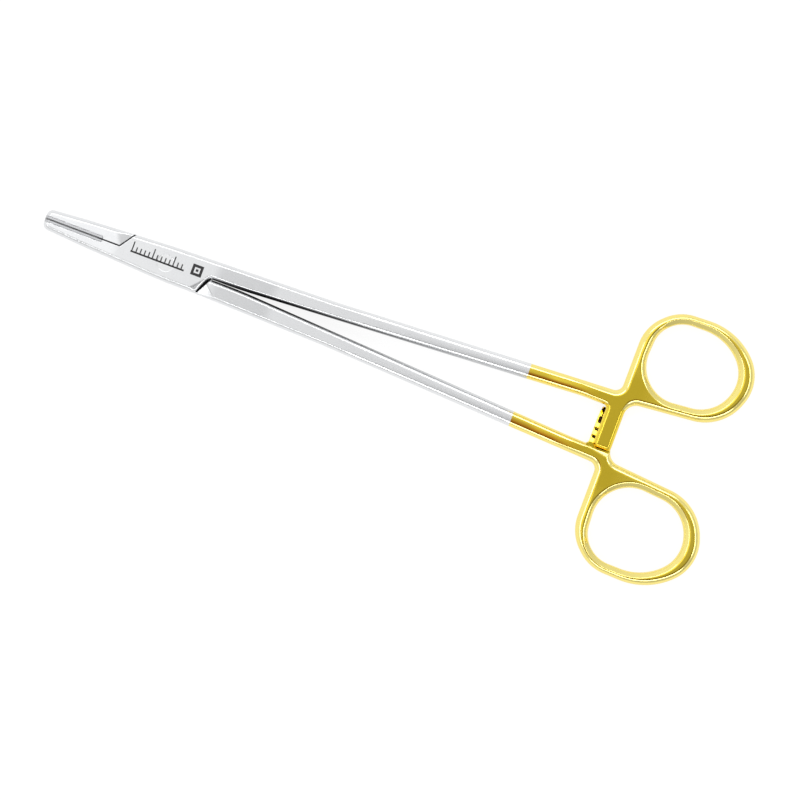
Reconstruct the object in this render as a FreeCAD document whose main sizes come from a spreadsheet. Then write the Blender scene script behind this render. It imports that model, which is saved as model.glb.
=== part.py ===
import FreeCAD, Part
import math
import os
import Sketcher

# Needle holder with a box lock, lying flat as it rests on a table.
# X runs from the jaws to the finger rings, Y across the instrument and Z up.
# The origin is on the hinge axis, in the plane that the instrument rests on.

os.makedirs("parts", exist_ok=True)
doc = FreeCAD.newDocument("needle_holder")
V = FreeCAD.Vector

# Driving sizes in millimetres, angles in degrees, each with what it measures
SIZES = [
    ("box_thickness", 5.4, "height of the box lock"),
    ("handle_thickness", 4.8, "height of the rings and of the two ratchet bars"),
    ("shank_thickness", 4.3, "height of the shanks between lock and rings"),
    ("tip_thickness", 3.0, "height of the jaws at the tip"),
    ("edge_round", 1.1, "rounding of the forged outer edges"),
    ("hole_bevel", 1.3, "bevel of the ring hole's edges"),
    ("gentle_bend", 150, "bend of the long, nearly straight edges"),
    ("jaw_bend", 75, "bend of the upper jaw's edge at the shoulder"),
    ("crotch_bend", 3.75, "bend of the tang's edge at the crotch"),
    ("side_bend", 25, "bend between the levels seen from the side"),
    # jaws and their inserts
    ("jaw_reach", 35.4, "hinge axis to jaw tip"),
    ("tip_half_width", 2.75, "half width of the closed jaws at the tip"),
    ("tip_corner", 1.8, "plan rounding of each jaw tip"),
    ("jaw_middle", 24, "hinge axis to the middle of the jaws"),
    ("jaw_middle_half_width", 3.65, "half width of the closed jaws there"),
    ("jaw_taper_start", 14.6, "hinge axis to where the jaws grow thinner"),
    ("seam_gap", 0.06, "gap between the closed jaws"),
    ("insert_length", 16.8, "length of the hard gripping insert"),
    ("insert_depth", 0.8, "thickness of the insert"),
    # box lock
    ("box_half_width", 5.0, "half width of the box at the hinge"),
    ("hub_radius", 4.6, "round middle of the tang inside the box"),
    ("hub_step", 0.3, "length of the slope from the tang's side to the shank's"),
    ("lock_front", 13.4, "hinge axis to the front shoulder, at the seam"),
    ("lock_front_outer", 10.2, "hinge axis to the front shoulder, at the outer edge"),
    ("lock_rear", 13.1, "hinge axis to the rear shoulder, at the crotch"),
    ("lock_rear_outer", 10.3, "hinge axis to the rear shoulder, at the outer edge"),
    ("lock_corner", 1.3, "plan rounding of the cheek's rear corner"),
    ("crotch_corner", 0.4, "plan rounding of the cheek at the crotch"),
    ("lock_gap", 0.12, "side clearance of the tang in its slot"),
    ("tang_thickness", 2.5, "height of the tang"),
    ("tang_gap", 0.05, "clearance above and below the tang"),
    ("open_travel", 38, "turn from closed to the stop"),
    ("pin_radius", 1.6, "hinge pin"),
    ("pin_gap", 0.03, "running clearance of the tang on the pin"),
    ("pin_head_radius", 2.3, "countersunk head of the riveted pin"),
    ("pin_head_depth", 0.6, "depth of that head"),
    # shanks
    ("crotch_height", 0.15, "where the two shanks meet, off the seam"),
    ("shank_gap", 0.1, "gap between the closed shanks at the crotch"),
    ("shank_split", 21.5, "hinge axis to where the shanks part"),
    ("shank_taper_end", 31, "hinge axis to where the shanks reach their height"),
    ("shank_middle", 48, "hinge axis to the bend of the outer edges"),
    ("root_start", 110, "hinge axis to where the shanks grow to handle height"),
    ("root_end", 123, "hinge axis to where the handles have their full height"),
    ("window_end", 120, "hinge axis to the end of the straight inner edges"),
    ("box_shank_outer", 6.4, "outer edge of the box half's shank at its bend"),
    ("box_shank_inner", 6.2, "inner edge of the box half's shank at its end"),
    ("box_shoulder_y", 10.85, "outer edge of the box half's shank at its ring"),
    ("tang_shank_outer", 6.05, "outer edge of the tang half's shank at its bend"),
    ("tang_shank_inner", 5.6, "inner edge of the tang half's shank at its end"),
    ("tang_shoulder_y", 10.3, "outer edge of the tang half's shank at its ring"),
    # ratchet bars
    ("bar_left", 127.2, "hinge axis to the upper bar's near side"),
    ("lower_bar_left", 126.0, "hinge axis to the lower bar's near side"),
    ("bar_right", 132.4, "hinge axis to both bars' far side"),
    ("upper_bar_end", 6.1, "reach of the upper bar past the seam"),
    ("lower_bar_end", 5.8, "reach of the lower bar past the seam"),
    ("upper_bar_corner", 1.4, "plan rounding of the upper bar's end"),
    ("lower_bar_corner", 0.6, "plan rounding of the lower bar's end"),
    ("bar_root_y", 5.8, "where each bar leaves its shank"),
    ("window_corner", 1.0, "plan rounding where bar and shank meet"),
    ("bar_throat", 3.6, "plan rounding between bar and ring"),
    ("throat_drop", 15.6, "middle of the hole to that rounding, across the instrument"),
    ("bar_clearance", 0.1, "gap between the tooth tips, ratchet released"),
    ("bar_step", 0.4, "room past each bar's end"),
    ("tooth_pitch", 2.2, "ratchet pitch"),
    ("tooth_depth", 0.7, "ratchet tooth depth"),
    ("tooth_land", 0.25, "flat top of a tooth"),
    ("tooth_count", 4, "notches in each bar"),
    ("tooth_first", 3.4, "first notch's steep side, off the seam"),
    # finger rings, from the middle of each hole
    ("box_ring_x", 146.3, "middle of the box half's ring"),
    ("box_ring_y", 24.7, "middle of the box half's ring"),
    ("box_ring_scale", 1.0, "size of that ring"),
    ("tang_ring_x", 147.5, "middle of the tang half's ring"),
    ("tang_ring_y", 24.9, "middle of the tang half's ring"),
    ("tang_ring_scale", 1.025, "size of that ring, slightly the larger one"),
    ("ring_neck", 2.2, "plan rounding between shank and ring"),
]

# Corners of the ring's hole and of its rim about the hole's middle, for the ring above the
# seam: x, y and rounding
HOLE_CORNERS = [
    ("hole_near_outer", -7.8, 10.0, 8.9),
    ("hole_outer", 5.3, 10.2, 15.0),
    ("hole_far", 14.1, 1.7, 9.6),
    ("hole_far_inner", 10.3, -11.0, 10.5),
    ("hole_inner", -6.7, -12.5, 10.1),
    ("hole_near_inner", -13.4, -5.8, 10.2),
    ("hole_near", -12.8, 5.2, 8.4),
]
RIM_CORNERS = [
    ("rim_far_inner", 13.0, -13.5, 13.6),
    ("rim_far", 18.8, 2.0, 11.8),
    ("rim_outer", 7.5, 13.1, 18.8),
    ("rim_near_outer", -9.3, 12.7, 11.8),
    ("rim_near", -16.0, 5.6, 11.8),
]

# How far cuts and helping lines reach past the metal that they meet
PAST = 5
# Two places closer than this are one place
TOUCH = 0.01


def fill_sheet():
    """Write the sizes into the document's sheet, one row each."""
    sheet = doc.addObject("Spreadsheet::Sheet", "Sizes")
    rows = list(SIZES)
    for name, x, y, rounding in HOLE_CORNERS + RIM_CORNERS:
        rows += [(name + "_x", x, "corner, along"), (name + "_y", y, "corner, across")]
        rows.append((name + "_round", rounding, "that corner's rounding"))
    for row, (alias, number, meaning) in enumerate(rows, start=1):
        sheet.set(f"A{row}", meaning)
        sheet.set(f"B{row}", str(number))
        sheet.setAlias(f"B{row}", alias)
    doc.recompute()
    return sheet, [alias for alias, number, meaning in rows]


sizes, ALIASES = fill_sheet()


def bound(expression):
    """The same expression with each size named as a cell of the sheet."""
    words = []
    word = ""
    for sign in expression + " ":
        if sign.isalnum() or sign == "_":
            word += sign
            continue
        words.append("Sizes." + word if word in ALIASES else word)
        words.append(sign)
        word = ""
    return "".join(words).strip()


def value(expression):
    """The number that an expression of sizes has."""
    return float(sizes.evalExpression(bound(expression)))


def origin_plane(body, role):
    return next(item for item in body.Origin.OriginFeatures if item.Role == role)


def new_body(label):
    body = doc.addObject("PartDesign::Body", label)
    body.Label = label
    return body


def new_sketch(body, name, role="XY_Plane", offset=None):
    """A sketch on one of the body's origin planes, lifted off it by an expression."""
    sketch = body.newObject("Sketcher::SketchObject", name)
    sketch.AttachmentSupport = [(origin_plane(body, role), "")]
    sketch.MapMode = "FlatFace"
    if offset:
        sketch.setExpression("AttachmentOffset.Base.z", bound(offset))
    return sketch


def corner_arc(before, corner, after, radius):
    """Start, end, centre and turning sense of the arc that rounds one corner."""
    back = (before - corner).normalize()
    on = (after - corner).normalize()
    half_angle = back.getAngle(on) / 2
    reach = radius / math.tan(half_angle)
    centre = corner + (back + on).normalize() * (radius / math.sin(half_angle))
    counter_clockwise = back.x * on.y - back.y * on.x < 0
    return corner + back * reach, corner + on * reach, centre, counter_clockwise


def draw_outline(sketch, corners):
    """Close an outline of straight runs, rounded by tangent arcs at its corners.

    A corner is an x, a y and a rounding, each an expression of sizes or None for a sharp one.
    Every corner is held in place by its two distances from the origin.
    """
    points = [V(value(x), value(y), 0) for x, y, rounding in corners]
    count = len(points)
    arcs = {}
    for i, (x, y, rounding) in enumerate(corners):
        if rounding:
            arcs[i] = corner_arc(points[i - 1], points[i], points[(i + 1) % count], value(rounding))
    starts = [arcs[i][1] if i in arcs else points[i] for i in range(count)]
    ends = [arcs[(i + 1) % count][0] if (i + 1) % count in arcs else points[(i + 1) % count]
            for i in range(count)]
    first = sketch.addGeometry([Part.LineSegment(a, b) for a, b in zip(starts, ends)])[0]
    rules = []
    bindings = []
    for i, (x, y, rounding) in enumerate(corners):
        line_in = first + (i - 1) % count
        line_out = first + i
        if i in arcs:
            start, end, centre, turns_left = arcs[i]
            angles = [math.atan2(p.y - centre.y, p.x - centre.x) for p in (start, end)]
            circle = Part.Circle(centre, V(0, 0, 1), value(rounding))
            span = angles if turns_left else angles[::-1]
            arc = sketch.addGeometry(Part.ArcOfCircle(circle, *span))
            mark = sketch.addGeometry(Part.Point(points[i]), True)
            near, far = (1, 2) if turns_left else (2, 1)
            rules.append(Sketcher.Constraint("Tangent", line_in, 2, arc, near))
            rules.append(Sketcher.Constraint("Tangent", arc, far, line_out, 1))
            rules.append(Sketcher.Constraint("PointOnObject", mark, 1, line_in))
            rules.append(Sketcher.Constraint("PointOnObject", mark, 1, line_out))
            bindings.append((len(rules), rounding))
            rules.append(Sketcher.Constraint("Radius", arc, value(rounding)))
            held = (mark, 1)
        else:
            rules.append(Sketcher.Constraint("Coincident", line_in, 2, line_out, 1))
            held = (line_out, 1)
        bindings.append((len(rules), x))
        rules.append(Sketcher.Constraint("DistanceX", -1, 1, *held, points[i].x))
        bindings.append((len(rules), y))
        rules.append(Sketcher.Constraint("DistanceY", -1, 1, *held, points[i].y))
    offset = len(sketch.Constraints)
    sketch.addConstraint(rules)
    for index, expression in bindings:
        sketch.setExpression(f"Constraints[{offset + index}]", bound(expression))


def draw_circle(sketch, radius):
    circle = sketch.addGeometry(Part.Circle(V(0, 0, 0), V(0, 0, 1), value(radius)))
    sketch.addConstraint(Sketcher.Constraint("Coincident", circle, 3, -1, 1))
    rule = sketch.addConstraint(Sketcher.Constraint("Radius", circle, value(radius)))
    sketch.setExpression(f"Constraints[{rule}]", bound(radius))


def pad(body, sketch, name, length):
    feature = body.newObject("PartDesign::Pad", name)
    feature.Profile = sketch
    feature.setExpression("Length", bound(length))
    sketch.Visibility = False
    return feature


def pocket(body, sketch, name, length=None, upward=False, both_ways=False):
    """Cut a sketch out of the body, and check that it really took something away."""
    doc.recompute()
    before = body.Shape.Volume
    feature = body.newObject("PartDesign::Pocket", name)
    feature.Profile = sketch
    if length:
        feature.setExpression("Length", bound(length))
    else:
        feature.Type = "ThroughAll"
    feature.Reversed = upward
    feature.Midplane = both_ways
    doc.recompute()
    if body.Shape.Volume > before - 1e-3:
        raise RuntimeError(f"{name} cuts nothing")
    return feature


def ring_corner(half, corner):
    """A corner of one ring, in place and at that ring's size."""
    side = "" if half == "box" else "-"
    x = f"{half}_ring_x + {corner}_x * {half}_ring_scale"
    y = f"{side}({half}_ring_y + {corner}_y * {half}_ring_scale)"
    return x, y, f"{corner}_round * {half}_ring_scale"


def handle_outline(half):
    """One half's outline from the crotch along its inner edge, round bar and ring, and back."""
    side = "" if half == "box" else "-"
    other = "-" if half == "box" else ""
    bar_side, bar_end, bar_corner = "bar_left", "upper_bar_end", "upper_bar_corner"
    if half == "tang":
        bar_side, bar_end, bar_corner = "lower_bar_left", "lower_bar_end", "lower_bar_corner"
    inner = "crotch_height + shank_gap / 2" if half == "box" else "crotch_height - shank_gap / 2"
    throat_y = f"{side}({half}_ring_y - throat_drop * {half}_ring_scale)"
    shank = [
        ("shank_split", inner, "gentle_bend"),
        ("window_end", f"{side}{half}_shank_inner", "side_bend"),
        (bar_side, f"{side}bar_root_y", "window_corner"),
        (bar_side, f"{other}{bar_end}", bar_corner),
        ("bar_right", f"{other}{bar_end}", bar_corner),
        ("bar_right", throat_y, "bar_throat"),
    ]
    rim = [ring_corner(half, name) for name, x, y, rounding in RIM_CORNERS]
    neck = [
        (rim[-1][0], f"{side}{half}_shoulder_y", "ring_neck"),
        ("shank_middle", f"{side}{half}_shank_outer", "gentle_bend"),
    ]
    return shank + rim + neck


def box_half_outline():
    jaw = [
        ("-jaw_reach", "-seam_gap / 2", None),
        ("-jaw_reach", "-tip_half_width", "tip_corner"),
        ("-jaw_middle", "-jaw_middle_half_width", "gentle_bend"),
        ("0", "-box_half_width", "gentle_bend"),
        ("lock_rear_outer", "-box_half_width", "lock_corner"),
        ("lock_rear", "crotch_height + shank_gap / 2", "crotch_corner"),
    ]
    lock = [
        ("0", "box_half_width", "gentle_bend"),
        ("-lock_front_outer", "hub_radius", None),
        ("-lock_front", "-seam_gap / 2", None),
    ]
    return jaw + handle_outline("box") + lock


def hub_corner():
    """How far from the hinge axis, along the box, the tang's edge turns down to the crotch."""
    lock_rear = value("lock_rear")
    crotch = value("crotch_height - shank_gap / 2")
    slope = math.atan2(crotch, lock_rear)
    slope += math.acos(value("hub_radius") / math.hypot(lock_rear, crotch))
    return value("hub_radius") * math.tan((math.pi / 2 - slope) / 2)


def front_hub_corner():
    slope = math.acos(value("hub_radius / lock_front"))
    return value("hub_radius") * math.tan((math.pi / 2 - slope) / 2)


def tang_half_outline():
    jaw = [
        ("-lock_front", "seam_gap / 2", None),
        ("-jaw_reach", "seam_gap / 2", None),
        ("-jaw_reach", "tip_half_width", "tip_corner"),
        ("-jaw_middle", "jaw_middle_half_width", "gentle_bend"),
        ("-lock_front_outer", "hub_radius", "jaw_bend"),
        (repr(round(hub_corner(), 6)), "hub_radius", "hub_radius"),
        ("lock_rear", "crotch_height - shank_gap / 2", "crotch_bend"),
    ]
    lock = [
        ("lock_rear_outer", "-box_half_width", None),
        ("lock_rear_outer - hub_step", "-hub_radius", None),
        (repr(round(-front_hub_corner(), 6)), "-hub_radius", "hub_radius"),
    ]
    return jaw + handle_outline("tang") + lock


def cut_side_profile(body):
    """Bring a blank of the box's full height to its heights along the instrument."""
    sketch = new_sketch(body, "SideProfile", "XZ_Plane")
    beyond = "box_ring_x + 3 * hole_far_x"
    taper = "(box_thickness - tip_thickness) / 2 / (jaw_reach - jaw_taper_start)"
    top = [
        (f"-jaw_reach - {PAST}", f"box_thickness + {PAST}", None),
        (f"-jaw_reach - {PAST}", f"(box_thickness + tip_thickness) / 2 - {PAST} * {taper}", None),
        ("-jaw_taper_start", "box_thickness", "side_bend"),
        ("jaw_taper_start", "box_thickness", "side_bend"),
        ("shank_taper_end", "(box_thickness + shank_thickness) / 2", "side_bend"),
        ("root_start", "(handle_thickness + shank_thickness) / 2", "side_bend"),
        ("root_end", "handle_thickness", "side_bend"),
        (beyond, "handle_thickness", None),
        (beyond, f"box_thickness + {PAST}", None),
    ]
    bottom = [
        (f"-jaw_reach - {PAST}", f"-{PAST}", None),
        (f"-jaw_reach - {PAST}", f"(box_thickness - tip_thickness) / 2 + {PAST} * {taper}", None),
        ("-jaw_taper_start", "0", "side_bend"),
        ("jaw_taper_start", "0", "side_bend"),
        ("shank_taper_end", "(box_thickness - shank_thickness) / 2", "side_bend"),
        ("root_start", "(handle_thickness - shank_thickness) / 2", "side_bend"),
        ("root_end", "0", None),
        ("root_end", f"-{PAST}", None),
    ]
    draw_outline(sketch, top)
    draw_outline(sketch, bottom)
    pocket(body, sketch, "SideCut", both_ways=True)


def break_edges(body, kind, name, size, amount, wanted):
    """Round or bevel the edges between a wall and a level face whose middle `wanted` accepts."""
    doc.recompute()
    base = body.Tip
    shape = base.Shape
    names = []
    for number, edge in enumerate(shape.Edges, start=1):
        levels = []
        for face in shape.ancestorsOfType(edge, Part.Face):
            u_min, u_max, v_min, v_max = face.ParameterRange
            normal = face.normalAt((u_min + u_max) / 2, (v_min + v_max) / 2)
            levels.append(abs(normal.z) > 0.5)
        middle = edge.valueAt((edge.FirstParameter + edge.LastParameter) / 2)
        if sorted(levels) == [False, True] and wanted(middle):
            names.append(f"Edge{number}")
    feature = body.newObject(kind, name)
    feature.Base = (base, names)
    feature.setExpression(size, bound(amount))
    doc.recompute()


def forge(label, outline, half, is_edge_sharp):
    """The blank of one half: plan outline, side profile, ring hole and rounded edges."""
    body = new_body(label)
    plan = new_sketch(body, "Plan")
    draw_outline(plan, outline)
    pad(body, plan, "Blank", "box_thickness")
    cut_side_profile(body)
    break_edges(body, "PartDesign::Fillet", "EdgeRound", "Radius", "edge_round",
                lambda middle: not is_edge_sharp(middle))
    hole = new_sketch(body, "RingHole")
    draw_outline(hole, [ring_corner(half, name) for name, x, y, rounding in HOLE_CORNERS])
    pocket(body, hole, "RingCut", upward=True)
    handle_start = value("root_end")
    break_edges(body, "PartDesign::Chamfer", "HoleBevel", "Size", "hole_bevel",
                lambda middle: middle.x > handle_start)
    return body


def direction(degrees):
    angle = math.radians(degrees)
    return V(math.cos(angle), math.sin(angle), 0)


def meet(normal_one, distance_one, normal_two, distance_two):
    """Where two lines cross, each given by its normal and its distance from the origin."""
    turn = normal_one.x * normal_two.y - normal_one.y * normal_two.x
    x = (distance_one * normal_two.y - distance_two * normal_one.y) / turn
    y = (normal_one.x * distance_two - normal_two.x * distance_one) / turn
    return V(x, y, 0)


def numbers(points):
    """Sharp corners at worked-out places."""
    return [(repr(round(point.x, 6)), repr(round(point.y, 6)), None) for point in points]


def slot_outline():
    """The way through the box that the tang sweeps from closed to the stop, seen from above.

    Two walls stay beside it, each a wedge. One side of a wedge lies along the closed tang and
    the other along the tang at its widest opening, which makes it the stop.
    """
    wall = value("hub_radius + lock_gap")
    far = value("3 * box_half_width")
    length = value("lock_rear") + PAST
    corners = []
    crotch = V(value("lock_rear"), value("crotch_height - shank_gap / 2"), 0)
    foot = V(value("-lock_front"), value("seam_gap / 2"), 0)
    for shoulder, half_turn in ((crotch, 0), (foot, 180)):
        bearing = math.degrees(math.atan2(shoulder.y, shoulder.x))
        lean = math.degrees(math.acos(value("hub_radius") / shoulder.Length))
        closed_side = direction(bearing + lean)
        open_side = direction(90 + half_turn - value("open_travel"))
        across = direction(90 + half_turn)
        along = direction(half_turn)
        corners.append(meet(open_side, wall, across, far))
        corners.append(meet(open_side, wall, closed_side, wall))
        corners.append(meet(closed_side, wall, along, length))
        corners.append(meet(along, length, across, -far))
    return corners


def shoulder_lines():
    """The four ends of the two shoulders, front and rear, moved out by the clearance."""
    gap = value("lock_gap")
    front_low = V(value("-lock_front"), 0, 0)
    front_high = V(value("-lock_front_outer"), value("hub_radius"), 0)
    rear_high = V(value("lock_rear"), value("crotch_height"), 0)
    rear_low = V(value("lock_rear_outer"), value("-box_half_width"), 0)
    lines = []
    shoulders = [(front_low, front_high, V(-1, 0, 0)), (rear_low, rear_high, V(1, 0, 0))]
    for start, end, outward in shoulders:
        run = (end - start).normalize()
        normal = V(run.y, -run.x, 0)
        if normal.dot(outward) < 0:
            normal = normal * -1
        reach = run * value("4 * box_half_width")
        lines.append((start + normal * gap - reach, end + normal * gap + reach))
    return lines


def cut_cheek_room(body):
    """Thin the tang above and below, between the two shoulders, to pass between the cheeks."""
    (front_low, front_high), (rear_low, rear_high) = shoulder_lines()
    corners = numbers([front_low, rear_low, rear_high, front_high])
    for name, level, upward in (("UpperCheekRoom", "(box_thickness + tang_thickness) / 2", True),
                                ("LowerCheekRoom", "(box_thickness - tang_thickness) / 2", False)):
        sketch = new_sketch(body, name, offset=level)
        draw_outline(sketch, corners)
        pocket(body, sketch, name + "Cut", upward=upward)


def cut_insert_seat(body, side):
    """The step in a jaw's face that the gripping insert is brazed into."""
    sketch = new_sketch(body, "InsertSeat")
    bottom = f"{side}(seam_gap / 2 + insert_depth)"
    beyond = f"{'' if side else '-'}{PAST}"
    draw_outline(sketch, [
        (f"-jaw_reach - {PAST}", bottom, None),
        ("-jaw_reach + insert_length", bottom, None),
        ("-jaw_reach + insert_length", beyond, None),
        (f"-jaw_reach - {PAST}", beyond, None),
    ])
    pocket(body, sketch, "InsertSeatCut", upward=True)


def cut_ratchet(body, half):
    """Halve the bar's height where the two bars cross, and cut its saw teeth."""
    upper = half == "box"
    sign = 1 if upper else -1
    face = f"handle_thickness / 2 + {sign} * bar_clearance / 2"
    step = f"{sign} * ({'lower_bar_end' if upper else 'upper_bar_end'} + bar_step)"
    beyond = f"{-sign} * 3 * upper_bar_end"
    lap = new_sketch(body, "Lap", offset=face)
    near = "lower_bar_left - bar_step"
    past = "bar_right + bar_step"
    draw_outline(lap, [
        (near, step, None),
        (past, step, None),
        (past, beyond, None),
        (near, beyond, None),
    ])
    pocket(body, lap, "LapCut", upward=not upper)
    notch = new_sketch(body, "Notch", "YZ_Plane", offset=past)
    slope_end = f"tooth_first + {sign} * (tooth_pitch - tooth_land)"
    draw_outline(notch, [
        ("tooth_first", f"{face} + {sign} * tooth_depth", None),
        ("tooth_first", f"{face} - {sign} * bar_clearance", None),
        (slope_end, f"{face} - {sign} * bar_clearance", None),
        (slope_end, face, None),
    ])
    first = pocket(body, notch, "NotchCut", length="bar_right - lower_bar_left + 2 * bar_step")
    teeth = body.newObject("PartDesign::LinearPattern", "Teeth")
    teeth.Originals = [first]
    teeth.Direction = (notch, ["H_Axis"])
    teeth.Reversed = True
    teeth.setExpression("Length", bound("tooth_pitch * (tooth_count - 1)"))
    teeth.setExpression("Occurrences", bound("tooth_count"))
    body.Tip = teeth
    doc.recompute()


def pin_profile():
    """Half of the riveted pin's section, with a flush countersunk head at each cheek."""
    return [
        ("0", "0", None),
        ("pin_head_radius", "0", None),
        ("pin_radius", "pin_head_depth", None),
        ("pin_radius", "box_thickness - pin_head_depth", None),
        ("pin_head_radius", "box_thickness", None),
        ("0", "box_thickness", None),
    ]


def turn_pin(body, kind, name):
    sketch = new_sketch(body, name, "XZ_Plane")
    draw_outline(sketch, pin_profile())
    feature = body.newObject(kind, name + "Turn")
    feature.Profile = sketch
    feature.ReferenceAxis = (sketch, ["V_Axis"])
    feature.Angle = 360
    doc.recompute()


def make_box_half():
    def is_edge_sharp(middle):
        on_seam = middle.x < value("-lock_front_outer") and middle.y > value("-seam_gap")
        return on_seam and middle.x > value("-jaw_reach") + TOUCH

    body = forge("box_half", box_half_outline(), "box", is_edge_sharp)
    slot = new_sketch(body, "Slot", offset="(box_thickness - tang_thickness) / 2 - tang_gap")
    draw_outline(slot, numbers(slot_outline()))
    pocket(body, slot, "SlotCut", length="tang_thickness + 2 * tang_gap", upward=True)
    turn_pin(body, "PartDesign::Groove", "PinBore")
    cut_insert_seat(body, "-")
    cut_ratchet(body, "box")
    return body


def make_tang_half():
    def is_edge_sharp(middle):
        on_seam = middle.y < value("seam_gap") and value("-jaw_reach") + TOUCH < middle.x < 0
        on_tang = middle.y < 0 and middle.x < value("lock_rear_outer") + TOUCH
        return on_seam or on_tang

    body = forge("tang_half", tang_half_outline(), "tang", is_edge_sharp)
    cut_cheek_room(body)
    bore = new_sketch(body, "PinBore")
    draw_circle(bore, "pin_radius + pin_gap")
    pocket(body, bore, "PinBoreCut", upward=True)
    cut_insert_seat(body, "")
    cut_ratchet(body, "tang")
    return body


def make_pin():
    body = new_body("hinge_pin")
    turn_pin(body, "PartDesign::Revolution", "Pin")
    return body


def make_insert(label, near_side):
    """A hard gripping insert as high as the jaw, with the jaw's own taper and tip rounding."""
    body = new_body(label)
    face = "seam_gap / 2" if near_side else "-seam_gap / 2 - insert_depth"
    sketch = new_sketch(body, "Face", "XZ_Plane", offset=face)
    share = "(jaw_reach - insert_length - jaw_taper_start) / (jaw_reach - jaw_taper_start)"
    rear_half = f"(box_thickness - (box_thickness - tip_thickness) * {share}) / 2"
    draw_outline(sketch, [
        ("-jaw_reach", "(box_thickness - tip_thickness) / 2", "edge_round"),
        ("-jaw_reach + insert_length", f"box_thickness / 2 - {rear_half}", None),
        ("-jaw_reach + insert_length", f"box_thickness / 2 + {rear_half}", None),
        ("-jaw_reach", "(box_thickness + tip_thickness) / 2", "edge_round"),
    ])
    pad(body, sketch, "Plate", "insert_depth")
    return body


parts = [
    make_box_half(),
    make_tang_half(),
    make_pin(),
    make_insert("box_jaw_insert", True),
    make_insert("tang_jaw_insert", False),
]
doc.recompute()

for item in doc.Objects:
    if "Invalid" in item.State or "Error" in item.State:
        raise RuntimeError(f"{item.Name} failed: {item.State}")
for body in parts:
    shape = body.Shape
    if shape.isNull() or not shape.isValid() or len(shape.Solids) != 1:
        raise RuntimeError(f"{body.Label} is not one sound solid")
for body in parts:
    body.Shape.exportStep(f"parts/{body.Label}.step")
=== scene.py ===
"""A surgical needle holder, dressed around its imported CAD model.

The two forged halves are level surfaces: a field that is negative inside the metal is worked out on a
grid with numpy, and the surface where it is zero becomes the mesh. The jaws, the box lock and the
shanks are satin steel, the handles are gold plated from a sharp line on, and the jaw inserts carry
rows of small gripping pyramids.
"""

import logging
import math
from dataclasses import dataclass, field
from enum import Enum
from typing import Callable

import bpy
import numpy as np
from numpy.typing import NDArray
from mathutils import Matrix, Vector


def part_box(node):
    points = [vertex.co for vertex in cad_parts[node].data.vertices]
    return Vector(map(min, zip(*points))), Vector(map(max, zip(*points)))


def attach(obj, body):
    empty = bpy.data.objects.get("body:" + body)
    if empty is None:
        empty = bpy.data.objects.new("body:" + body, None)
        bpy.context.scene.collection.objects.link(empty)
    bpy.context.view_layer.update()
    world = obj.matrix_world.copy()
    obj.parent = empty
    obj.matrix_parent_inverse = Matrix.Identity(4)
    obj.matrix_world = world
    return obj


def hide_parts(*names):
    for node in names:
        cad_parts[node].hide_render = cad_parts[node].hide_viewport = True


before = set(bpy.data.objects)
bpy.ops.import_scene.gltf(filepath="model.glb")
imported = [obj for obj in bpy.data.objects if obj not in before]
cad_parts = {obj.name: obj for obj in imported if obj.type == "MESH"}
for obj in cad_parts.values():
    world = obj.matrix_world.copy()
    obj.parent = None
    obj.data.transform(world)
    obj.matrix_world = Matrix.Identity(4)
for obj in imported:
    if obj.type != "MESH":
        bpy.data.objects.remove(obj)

MM = 0.001
Array = NDArray[np.float64]
Field = Callable[[Array, Array, Array], Array]
Tree = bpy.types.NodeTree
Socket = bpy.types.NodeSocket
log = logging.getLogger("needle_holder")


def linear(hex_colour: str) -> tuple[float, float, float, float]:
    """Turn an sRGB colour into the linear one that a shader takes.

    Args:
        hex_colour: Six hex digits after a hash.

    Returns:
        Red, green, blue and an alpha of one.
    """
    parts = [int(hex_colour[i:i + 2], 16) / 255 for i in (1, 3, 5)]
    red, green, blue = (c / 12.92 if c <= 0.04045 else ((c + 0.055) / 1.055) ** 2.4 for c in parts)
    return red, green, blue, 1.0


def smooth_step(value: Array, start: float, end: float) -> Array:
    """Rise from 0 at start to 1 at end as 3t² - 2t³."""
    t = np.clip((value - start) / (end - start), 0.0, 1.0)
    return t * t * (3 - 2 * t)


def smooth_least(a: Array, b: Array, width: float) -> Array:
    """The lesser of two fields, with the crease between them rounded over a width."""
    near = np.clip(width - np.abs(a - b), 0.0, None)
    return np.minimum(a, b) - near * near / (4 * width)


def smooth_most(a: Array, b: Array, width: float) -> Array:
    """The greater of two fields, with the crease between them rounded over a width."""
    return -smooth_least(-a, -b, width)


def ramp(value: Array, width: float) -> Array:
    """Nothing below zero and the value itself above it, joined by a parabola over the width."""
    t = np.clip(value + width, 0.0, 2 * width)
    return t * t / (4 * width) + np.clip(value - width, 0.0, None)


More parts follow.
